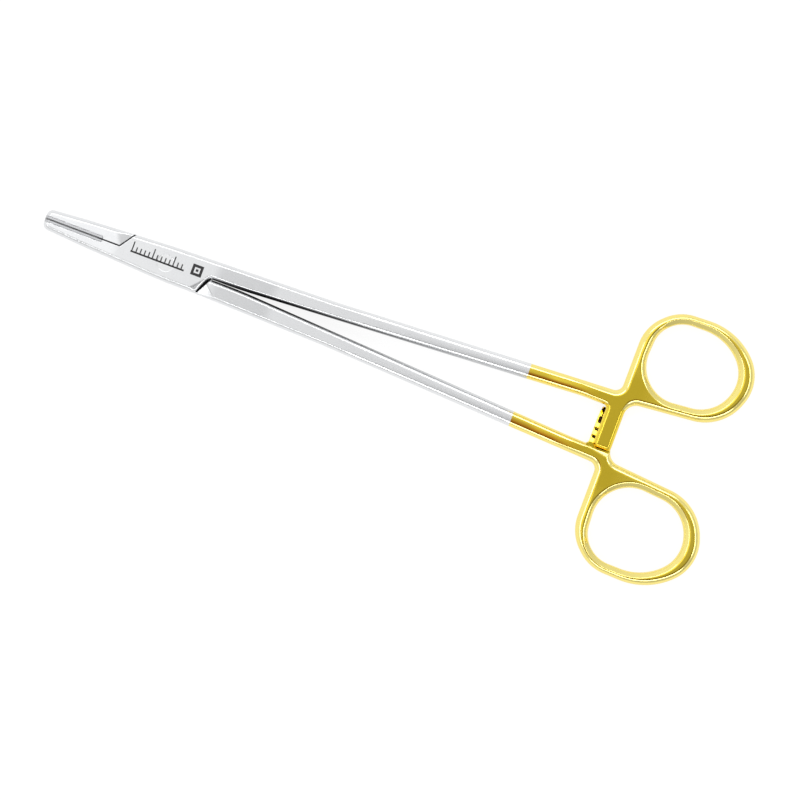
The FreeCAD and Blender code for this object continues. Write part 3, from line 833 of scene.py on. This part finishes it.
def new_material(name: str) -> tuple[bpy.types.Material, Tree]:
    """An empty node material and its tree."""
    material = bpy.data.materials.new(name)
    material.use_nodes = True
    material.node_tree.nodes.clear()
    return material, material.node_tree


def between(tree: Tree, value: Socket, low: float,
            high: float) -> Socket:
    """One where a value lies between two numbers, and nothing elsewhere."""
    above = calc(tree, "GREATER_THAN", value, low)
    below = calc(tree, "LESS_THAN", value, high)
    return both(tree, above, below)


def both(tree: Tree, *masks: Socket) -> Socket:
    """The product of some masks."""
    product = masks[0]
    for mask in masks[1:]:
        product = calc(tree, "MULTIPLY", product, mask)
    return product


def either(tree: Tree, *masks: Socket) -> Socket:
    """The greatest of some masks."""
    greatest = masks[0]
    for mask in masks[1:]:
        greatest = calc(tree, "MAXIMUM", greatest, mask)
    return greatest


@dataclass(frozen=True)
class Scale:
    """A plain scale, laser marked on the top of the box: a row of ticks over a line, and a square.

    Sizes are in millimetres from the hinge axis. Every fifth tick is long.
    """

    level: float = 5.2
    start: float = -10.2
    end: float = 5.4
    line: float = -0.5
    tick_foot: float = 0.0
    short: float = 1.3
    long: float = 2.6
    pitch: float = 1.2
    stroke: float = 0.34
    square_x: float = 7.3
    square_y: float = -0.5
    square: float = 3.1

    def mask(self, tree: Tree, x: Socket, y: Socket,
             z: Socket) -> Socket:
        """One on the marks and nothing elsewhere, from a place in metres."""
        pitch, half = self.pitch * MM, self.stroke * MM / 2

        def every(step: float) -> Socket:
            """One on lines that repeat at a step along X."""
            off = calc(tree, "SUBTRACT", x, (self.start + self.stroke / 2) * MM)
            nearest = calc(tree, "SNAP", off, step)
            rest = calc(tree, "SUBTRACT", off, nearest)
            return between(tree, rest, -half, 2 * half)

        along = between(tree, x, self.start * MM, self.end * MM)
        short = both(tree, every(pitch), between(tree, y, self.tick_foot * MM, self.short * MM))
        long = both(tree, every(5 * pitch), between(tree, y, self.tick_foot * MM, self.long * MM))
        line = between(tree, y, self.line * MM, self.tick_foot * MM)
        row = both(tree, either(tree, short, long, line), along)

        def plate(inset: float) -> Socket:
            """One inside the square less an inset."""
            low_x, low_y = (self.square_x + inset) * MM, (self.square_y + inset) * MM
            size = (self.square - 2 * inset) * MM
            return both(tree, between(tree, x, low_x, low_x + size), between(tree, y, low_y, low_y + size))

        hollow = calc(tree, "SUBTRACT", plate(0.0), plate(0.75))
        square = either(tree, hollow, plate(1.2))
        on_top = calc(tree, "GREATER_THAN", z, self.level * MM)
        return both(tree, either(tree, row, square), on_top)


@dataclass(frozen=True)
class InstrumentFinish:
    """Martensitic stainless steel, satin ground, with gold plating on the handle end.

    The steel is a very light grey with faint grinding lines, and its edges catch the light. Shade is
    painted as a dark hair along the seam and the box's two shoulders, and as a dark band along the
    shank's inner edge next to the crotch. The plating starts at a sharp line. It is polished, and satin
    on the flat web. On the gold, a dark reflection is painted brown where it leans towards -Y, a
    highlight is painted pale on its slopes of about 20 degrees, and shade is painted near black
    between the ratchet's teeth and in the corner at its root.
    """

    name: str
    handle: Handle
    marked: bool
    band: float
    # painted dark reflection: the lean of the normal towards -Y where it begins
    painted_reflection_start: float
    steel: str = "#e4e5e6"
    steel_deep: str = "#dddee0"
    gold: str = "#eed54e"
    gold_deep: str = "#e9c93c"
    gold_satin: str = "#c4ab2f"
    # painted dark reflection: the brown the gold is given where it leans towards -Y
    gold_painted_reflection: str = "#b66f16"
    # painted highlight: the pale gold put where lamp reflections fall
    painted_highlight_gold: str = "#fbf0a4"
    ink: str = "#1b1b1c"
    # painted shade: the dark put along the seam, the shoulders and the crotch
    painted_crevice_shade: str = "#2e2e30"
    # painted shade: near black between the ratchet's teeth and in the corner at its root
    gap: str = "#21150c"
    plating_start: float = 103.8
    steel_roughness: float = 0.26
    polish: float = 0.12
    satin: float = 0.34

    def line(self, tree: Tree, place: Socket, start: tuple[float, float],
             finish: tuple[float, float]) -> Socket:
        """The distance in metres to the left of a line between two places in millimetres."""
        run_x, run_y = finish[0] - start[0], finish[1] - start[1]
        length = math.hypot(run_x, run_y)
        normal = (-run_y / length, run_x / length, 0.0)
        offset = (start[0] * normal[0] + start[1] * normal[1]) * MM
        along = add_node(tree, "ShaderNodeVectorMath", {0: place, 1: normal},
                         operation="DOT_PRODUCT").outputs["Value"]
        return calc(tree, "SUBTRACT", along, offset)

    def joint(self, tree: Tree, place: Socket) -> Socket:
        """One close to the upper and lower edges of the seam and of the box's two shoulders, where shade
        is painted.
        """
        x, y, z = add_node(tree, "ShaderNodeSeparateXYZ", {0: place}).outputs
        k = Lock()
        seam = both(tree, between(tree, y, -0.2 * MM, 0.2 * MM), between(tree, x, -40 * MM, -k.front * MM))
        front = self.line(tree, place, (-k.front, 0.0), (-k.front_outer, k.hub))
        front = both(tree, between(tree, front, -0.13 * MM, 0.25 * MM), between(tree, y, 0.0, 4.7 * MM),
                     between(tree, x, -k.front * MM, -9 * MM))
        rear = self.line(tree, place, (k.rear_outer, -k.half_width), (k.rear, 0.15))
        rear = both(tree, between(tree, rear, -0.3 * MM, 0.1 * MM), between(tree, y, -4.6 * MM, 0.3 * MM),
                    between(tree, x, 9 * MM, (k.rear + 0.4) * MM))
        off = calc(tree, "SUBTRACT", z, k.height / 2 * MM)
        far = calc(tree, "ABSOLUTE", off)
        outside = calc(tree, "GREATER_THAN", far, 1.2 * MM)
        return both(tree, either(tree, seam, front, rear), outside)

    def web(self, tree: Tree, place: Socket) -> Socket:
        """One on the bar and the flat web between shank and ring, and nothing on the ring's band."""
        x, y, _ = add_node(tree, "ShaderNodeSeparateXYZ", {0: place}).outputs
        out = calc(tree, "ABSOLUTE", y)
        near = remap(tree, x, 112 * MM, 124 * MM)
        far = remap(tree, x, 135 * MM, 141 * MM, 1.0, 0.0)
        wide = remap(tree, out, 15 * MM, 20 * MM, 1.0, 0.0)
        return both(tree, near, far, wide)

    def shade(self, tree: Tree, place: Socket,
              level: Socket) -> Socket:
        """From 0 to 1 where the plated surface leans a little towards -Y, as a shank's flank does: where a
        dark reflection is painted brown onto the gold.
        """
        x = add_node(tree, "ShaderNodeSeparateXYZ", {0: place}).outputs[0]
        normal = add_node(tree, "ShaderNodeTexCoord").outputs["Normal"]
        aside = add_node(tree, "ShaderNodeSeparateXYZ", {0: normal}).outputs["Y"]
        shank = remap(tree, x, 116 * MM, 126 * MM, 1.0, 0.0)
        flank = remap(tree, aside, self.painted_reflection_start, -0.08)
        band = remap(tree, aside, -0.03, -0.12, 0.0, 0.7)
        stop = remap(tree, level, 0.95, 0.98)
        return both(tree, either(tree, both(tree, flank, shank), band), stop)

    def painted_highlight_share(self, tree: Tree, place: Socket,
              level: Socket) -> Socket:
        """Painted highlight: how pale the gold is made, most on the surfaces that slope by about 20
        degrees.
        """
        x, y, _ = add_node(tree, "ShaderNodeSeparateXYZ", {0: place}).outputs
        start = remap(tree, level, 0.975, 0.955)
        stop = remap(tree, level, 0.2, 0.92, 0.3, 0.75)
        bar = both(tree, between(tree, x, 125.5 * MM, 133 * MM), between(tree, y, -6.3 * MM, 6.3 * MM))
        off_bar = calc(tree, "SUBTRACT", 1.0, bar)
        return both(tree, start, stop, off_bar)

    def painted_gap_shade(self, tree: Tree, place: Socket,
             level: Socket) -> Socket:
        """One where shade is painted near black: at the bottoms between the ratchet's teeth and in the
        corner at its root.
        """
        x, y, z = add_node(tree, "ShaderNodeSeparateXYZ", {0: place}).outputs
        off = calc(tree, "SUBTRACT", z, 2.4 * MM)
        off = calc(tree, "ABSOLUTE", off)
        facing = calc(tree, "GREATER_THAN", level, 0.3)
        bar = both(tree, between(tree, x, 126.35 * MM, 132.9 * MM), between(tree, y, -6.4 * MM, 5.0 * MM))
        teeth = both(tree, bar, facing, between(tree, off, 0.49 * MM, 0.9 * MM))
        corner = both(tree, between(tree, x, 126.5 * MM, 128.2 * MM), between(tree, y, 5.0 * MM, 6.3 * MM),
                      between(tree, off, 0.0, 0.4 * MM))
        return either(tree, teeth, corner)

    def hollow(self, tree: Tree, place: Socket) -> Socket:
        """From 1 on the shank's inner edge, next to the crotch, to 0 in from it and further along.

        The band of painted shade narrows from a millimetre at the crotch and fades along the shank.
        """
        x = add_node(tree, "ShaderNodeSeparateXYZ", {0: place}).outputs[0]
        start, crotch, slope = self.handle.shank_edge(False)
        way = self.handle.side.value
        ends = (start, crotch), (start + 100 * way, crotch + 100 * way * slope)
        inside = self.line(tree, place, *ends)
        width = remap(tree, x, 15 * MM, 60 * MM, self.band * MM, 0.55 * self.band * MM)
        share = calc(tree, "DIVIDE", inside, width)
        edge = remap(tree, share, 0.8, 1.1, 1.0, 0.0)
        fade = remap(tree, x, 35 * MM, 90 * MM, 1.0, 0.25)
        begin = calc(tree, "GREATER_THAN", x, 13.5 * MM)
        stop = calc(tree, "LESS_THAN", x, self.plating_start * MM)
        return both(tree, edge, fade, begin, stop)

    def make(self) -> bpy.types.Material:
        """Build the material."""
        material, tree = new_material(self.name)
        place = add_node(tree, "ShaderNodeTexCoord").outputs["Object"]
        axes = add_node(tree, "ShaderNodeSeparateXYZ", {0: place}).outputs
        plated = calc(tree, "GREATER_THAN", axes["X"], self.plating_start * MM)
        stretch = {"Vector": place, "Scale": (1.0, 12.0, 1.0)}
        stretched = add_node(tree, "ShaderNodeMapping", stretch).outputs[0]
        grain = noise(tree, stretched, 0.5, 3.0)
        cloud = noise(tree, place, 9.0, 2.0)
        normal = add_node(tree, "ShaderNodeNewGeometry").outputs["Normal"]
        up = add_node(tree, "ShaderNodeSeparateXYZ", {0: normal}).outputs["Z"]
        level = calc(tree, "ABSOLUTE", up)
        flat = remap(tree, level, 0.985, 0.999)
        web = self.web(tree, place)
        satin = both(tree, flat, web)
        gold_rough = remap(tree, satin, 0.0, 1.0, self.polish, self.satin)
        steel_rough = remap(tree, grain, 0.3, 0.7, self.steel_roughness - 0.04,
                            self.steel_roughness + 0.05)
        rough = mix(tree, plated, steel_rough, gold_rough)
        steel = blend(tree, cloud, linear(self.steel), linear(self.steel_deep))
        gold = blend(tree, cloud, linear(self.gold), linear(self.gold_deep))
        gold = blend(tree, satin, gold, linear(self.gold_satin))
        # painted dark reflection: brown where the gold leans a little towards -Y
        gold = blend(tree, self.shade(tree, place, level), gold, linear(self.gold_painted_reflection))
        # painted highlight: paler gold on the slopes of about 20 degrees
        gold = blend(tree, self.painted_highlight_share(tree, place, level), gold, linear(self.painted_highlight_gold))
        # painted shade, near black, between the ratchet's teeth and in the corner at its root
        gold = blend(tree, self.painted_gap_shade(tree, place, level), gold, linear(self.gap))
        colour = blend(tree, plated, steel, gold)
        # painted shade along the seam, the box's shoulders and the shank's inner edge at the crotch
        painted_shade = either(tree, self.joint(tree, place), self.hollow(tree, place))
        colour = blend(tree, painted_shade, colour, linear(self.painted_crevice_shade))
        metal = 1.0
        if self.marked:
            ink = Scale().mask(tree, axes["X"], axes["Y"], axes["Z"])
            colour = blend(tree, ink, colour, linear(self.ink))
            metal = calc(tree, "SUBTRACT", 1.0, ink)
        bump = add_node(tree, "ShaderNodeBump", {"Strength": 0.04, "Distance": 0.02 * MM,
                                                 "Height": grain}).outputs[0]
        shader = add_node(tree, "ShaderNodeBsdfPrincipled",
                          {"Base Color": colour, "Metallic": metal, "Roughness": rough, "Normal": bump})
        add_node(tree, "ShaderNodeOutputMaterial", {0: shader.outputs[0]})
        return material


@dataclass(frozen=True)
class HardMetalFinish:
    """Sintered tungsten carbide.

    Its outside is ground flush with the jaw and is a grey a little darker than the steel, with
    slanting marks of the wheel. The face with the pyramids is as sintered: near black with a dull
    sheen.
    """

    name: str = "sintered_tungsten_carbide"
    dark: str = "#202123"
    light: str = "#3c3e41"
    ground: str = "#cfd0d2"
    mark: str = "#a6a7aa"
    face: float = 0.2
    mark_pitch: float = 0.3

    def make(self) -> bpy.types.Material:
        """Build the material."""
        material, tree = new_material(self.name)
        place = add_node(tree, "ShaderNodeTexCoord").outputs["Object"]
        along, across, _ = add_node(tree, "ShaderNodeSeparateXYZ", {0: place}).outputs
        face = between(tree, across, -self.face * MM, self.face * MM)
        slant = calc(tree, "ADD", along, across)
        wave = calc(tree, "PINGPONG", slant, self.mark_pitch * MM)
        mark = remap(tree, wave, 0.3 * self.mark_pitch * MM, 0.8 * self.mark_pitch * MM)
        ground = blend(tree, mark, linear(self.ground), linear(self.mark))
        grain = noise(tree, place, 0.3, 4.0)
        colour = blend(tree, grain, linear(self.dark), linear(self.light))
        colour = blend(tree, face, ground, colour)
        rough = remap(tree, grain, 0.0, 1.0, 0.3, 0.42)
        shader = add_node(tree, "ShaderNodeBsdfPrincipled",
                          {"Base Color": colour, "Metallic": 0.95, "Roughness": rough})
        add_node(tree, "ShaderNodeOutputMaterial", {0: shader.outputs[0]})
        return material


@dataclass(frozen=True)
class RivetFinish:
    """The same steel, ground flush with the cheeks after riveting, so the scale runs across it."""

    name: str = "flush_ground_rivet_steel"
    steel: str = "#e4e5e6"
    ink: str = "#1b1b1c"

    def make(self) -> bpy.types.Material:
        """Build the material."""
        material, tree = new_material(self.name)
        place = add_node(tree, "ShaderNodeTexCoord").outputs["Object"]
        grain = noise(tree, place, 0.4, 3.0)
        rough = remap(tree, grain, 0.0, 1.0, 0.22, 0.3)
        ink = Scale().mask(tree, *add_node(tree, "ShaderNodeSeparateXYZ", {0: place}).outputs)
        colour = blend(tree, ink, linear(self.steel), linear(self.ink))
        metal = calc(tree, "SUBTRACT", 1.0, ink)
        shader = add_node(tree, "ShaderNodeBsdfPrincipled",
                          {"Base Color": colour, "Metallic": metal, "Roughness": rough})
        add_node(tree, "ShaderNodeOutputMaterial", {0: shader.outputs[0]})
        return material


@dataclass(frozen=True)
class Softbox:
    """A soft rectangular lamp that faces the instrument."""

    name: str
    azimuth: float
    elevation: float
    distance: float
    width: float
    height: float
    radiance: float
    tint: str = "#ffffff"

    def make(self, centre: tuple[float, float, float]) -> None:
        """Hang the lamp at its bearing from the centre, aimed at it.

        A flat lamp's power is its radiance times its area times pi.
        """
        lamp = bpy.data.lights.new(self.name, "AREA")
        lamp.shape = "RECTANGLE"
        lamp.size, lamp.size_y = self.width, self.height
        lamp.energy = self.radiance * self.width * self.height * math.pi
        lamp.color = linear(self.tint)[:3]
        thing = bpy.data.objects.new(self.name, lamp)
        a, e = math.radians(self.azimuth), math.radians(self.elevation)
        way = (math.sin(a) * math.cos(e), -math.cos(a) * math.cos(e), math.sin(e))
        thing.location = [c + w * self.distance for c, w in zip(centre, way)]
        thing.rotation_euler = (math.pi / 2 - e, 0.0, a)
        thing.visible_camera = False
        bpy.context.scene.collection.objects.link(thing)


@dataclass
class Studio:
    """A white table in a pale room, with four strip lamps round it."""

    centre: tuple[float, float, float] = (0.0734, -0.0127, 0.0)
    camera_turn: float = 20.5
    camera_height: float = 1.2
    lens: float = 196.0
    front_wall: float = 0.72
    rear_wall: float = 0.98
    front_frame: float = 0.14
    rear_frame: float = 0.9
    front_share: float = 0.9
    ceiling_left: float = 1.37
    ceiling_right: float = 0.58
    ceiling_front: float = 0.42
    ceiling_rear: float = 1.42
    ceiling_corner: float = 0.82
    table: str = "#f4f4f4"
    table_even: float = 0.8
    table_white: float = 1.06
    table_side: float = 30.0

    def make(self) -> None:
        """Make the floor, the lamps, the world and the camera."""
        self.make_floor()
        self.make_world()
        for lamp in (
            Softbox("rear_strip", 200.5, 50, 2.0, 2.4, 0.3, 5.0),
            Softbox("front_strip", 20.5, 50, 2.0, 2.4, 0.3, 5.0),
            Softbox("left_strip", 290.5, 50, 2.0, 1.3, 0.25, 4.5),
            Softbox("right_strip", 110.5, 50, 2.0, 1.3, 0.25, 4.5),
        ):
            lamp.make(self.centre)
        self.make_camera()

    def make_floor(self) -> None:
        """A large white floor just under the instrument.

        Seen by the camera or in a reflection it is mostly its own even white, and the rest is lit, so
        that the instrument's shadow stays on it.
        """
        side = self.table_side
        mesh = bpy.data.meshes.new("floor")
        x, y, _ = self.centre
        corners = [(x + i * side, y + j * side, -0.00005) for i, j in ((-1, -1), (1, -1), (1, 1), (-1, 1))]
        mesh.from_pydata(corners, [], [(0, 1, 2, 3)])
        floor = bpy.data.objects.new("floor", mesh)
        bpy.context.scene.collection.objects.link(floor)
        material, tree = new_material("white_table")
        path = add_node(tree, "ShaderNodeLightPath").outputs
        seen = calc(tree, "MAXIMUM", path["Is Camera Ray"], path["Is Glossy Ray"])
        seen = calc(tree, "MAXIMUM", seen, path["Is Transmission Ray"])
        share = calc(tree, "MULTIPLY", seen, self.table_even)
        lit = add_node(tree, "ShaderNodeBsdfDiffuse", {"Color": linear(self.table)}).outputs[0]
        even = add_node(tree, "ShaderNodeEmission",
                        {"Color": (1, 1, 1, 1), "Strength": self.table_white}).outputs[0]
        mixed = add_node(tree, "ShaderNodeMixShader", {0: share, 1: lit, 2: even}).outputs[0]
        add_node(tree, "ShaderNodeOutputMaterial", {0: mixed})
        mesh.materials.append(material)

    def make_world(self) -> None:
        """A white room with a greyer front wall, under a grey ceiling.

        The walls brighten evenly from front to rear, are a little brighter on the left, and are a tenth
        darker right in front. A frame parts them from the ceiling, dark in front and pale at the rear.
        The ceiling is brighter on the left and at the rear, and falls off again in the far left corner.
        """
        world = bpy.data.worlds.new("studio")
        bpy.context.scene.world = world
        world.use_nodes = True
        tree = world.node_tree
        tree.nodes.clear()
        way = add_node(tree, "ShaderNodeTexCoord").outputs["Generated"]
        height = add_node(tree, "ShaderNodeSeparateXYZ", {0: way}).outputs["Z"]
        turn = math.radians(self.camera_turn)

        def toward(x: float, y: float) -> Socket:
            """A direction's component along a level one."""
            return add_node(tree, "ShaderNodeVectorMath", {0: way, 1: (x, y, 0.0)},
                            operation="DOT_PRODUCT").outputs["Value"]

        rear = toward(-math.sin(turn), math.cos(turn))
        right = toward(math.cos(turn), math.sin(turn))
        walls = remap(tree, rear, -1.0, 1.0, self.front_wall, self.rear_wall)
        walls = calc(tree, "MULTIPLY_ADD", right, -0.15, walls)
        in_front = remap(tree, rear, -0.55, -0.2, self.front_share)
        walls = both(tree, walls, in_front)
        frame_shade = remap(tree, rear, -0.15, 0.15, self.front_frame, self.rear_frame)
        ceiling = remap(tree, right, -0.09, 0.07, self.ceiling_left, self.ceiling_right)
        depth = remap(tree, rear, -0.22, 0.2, self.ceiling_front, self.ceiling_rear)
        corner = remap(tree, right, -0.22, -0.09, self.ceiling_corner)
        ceiling = both(tree, ceiling, depth, corner)
        is_frame = both(tree, remap(tree, height, 0.85, 0.88),
                        remap(tree, height, 0.945, 0.93))
        overhead = remap(tree, height, 0.92, 0.94)
        shade = mix(tree, overhead, walls, ceiling)
        shade = mix(tree, is_frame, shade, frame_shade)
        room = add_node(tree, "ShaderNodeBackground",
                        {"Color": (1.0, 1.0, 1.0, 1.0), "Strength": shade}).outputs[0]
        add_node(tree, "ShaderNodeOutputWorld", {0: room})

    def make_camera(self) -> None:
        """A long lens straight above, turned as in the photograph."""
        data = bpy.data.cameras.new("camera")
        data.sensor_width = 36.0
        data.lens = self.lens
        data.clip_start, data.clip_end = 0.01, 100.0
        camera = bpy.data.objects.new("camera", data)
        camera.location = (self.centre[0], self.centre[1], self.camera_height)
        camera.rotation_euler = (0.0, 0.0, math.radians(self.camera_turn))
        bpy.context.scene.collection.objects.link(camera)
        bpy.context.scene.camera = camera


def dress(piece: bpy.types.Object, material: bpy.types.Material) -> None:
    """Give a piece its one material."""
    piece.data.materials.clear()
    piece.data.materials.append(material)


def add_piece(surface: LevelMesh, name: str, body: str, node: str,
              material: bpy.types.Material) -> None:
    """Make a piece that stands for a CAD node, dress it and report it.

    Args:
        surface: The piece's surface.
        name: Its plain name.
        body: The CAD body that it rides on.
        node: The CAD node that it replaces.
        material: Its finish.
    """
    piece = surface.make(name)
    dress(piece, material)
    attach(piece, body)
    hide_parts(node)
    log.info("%s: %d faces", name, len(surface.faces))


def main() -> None:
    """Build every piece of the needle holder and the studio round it."""
    logging.basicConfig(level=logging.INFO, format="%(name)s: %(message)s")
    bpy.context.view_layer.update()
    scene = bpy.context.scene
    scene.view_settings.view_transform = "Standard"

    Studio().make()
    box, tang = BoxHalf(), TangHalf()
    plated = "satin_steel_gold_plated_handle_"
    steel = InstrumentFinish(plated + "box", BOX_HANDLE, True, 1.0, 0.01).make()
    steel_tang = InstrumentFinish(plated + "tang", TANG_HANDLE, False, 0.3, 0.09).make()
    carbide = HardMetalFinish().make()
    add_piece(box.mesh(), "box_half_forging", "box_side", "box_half", steel)
    add_piece(tang.mesh(), "tang_half_forging", "tang_side", "tang_half",
              steel_tang)
    add_piece(JawInsert(box).mesh(), "box_jaw_pyramid_insert", "box_side", "box_jaw_insert",
              carbide)
    add_piece(JawInsert(tang).mesh(), "tang_jaw_pyramid_insert", "tang_side", "tang_jaw_insert",
              carbide)
    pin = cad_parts["hinge_pin"]
    dress(pin, RivetFinish().make())
    log.info("hinge_pin: CAD node, dressed")


if __name__ == "__main__":
    main()
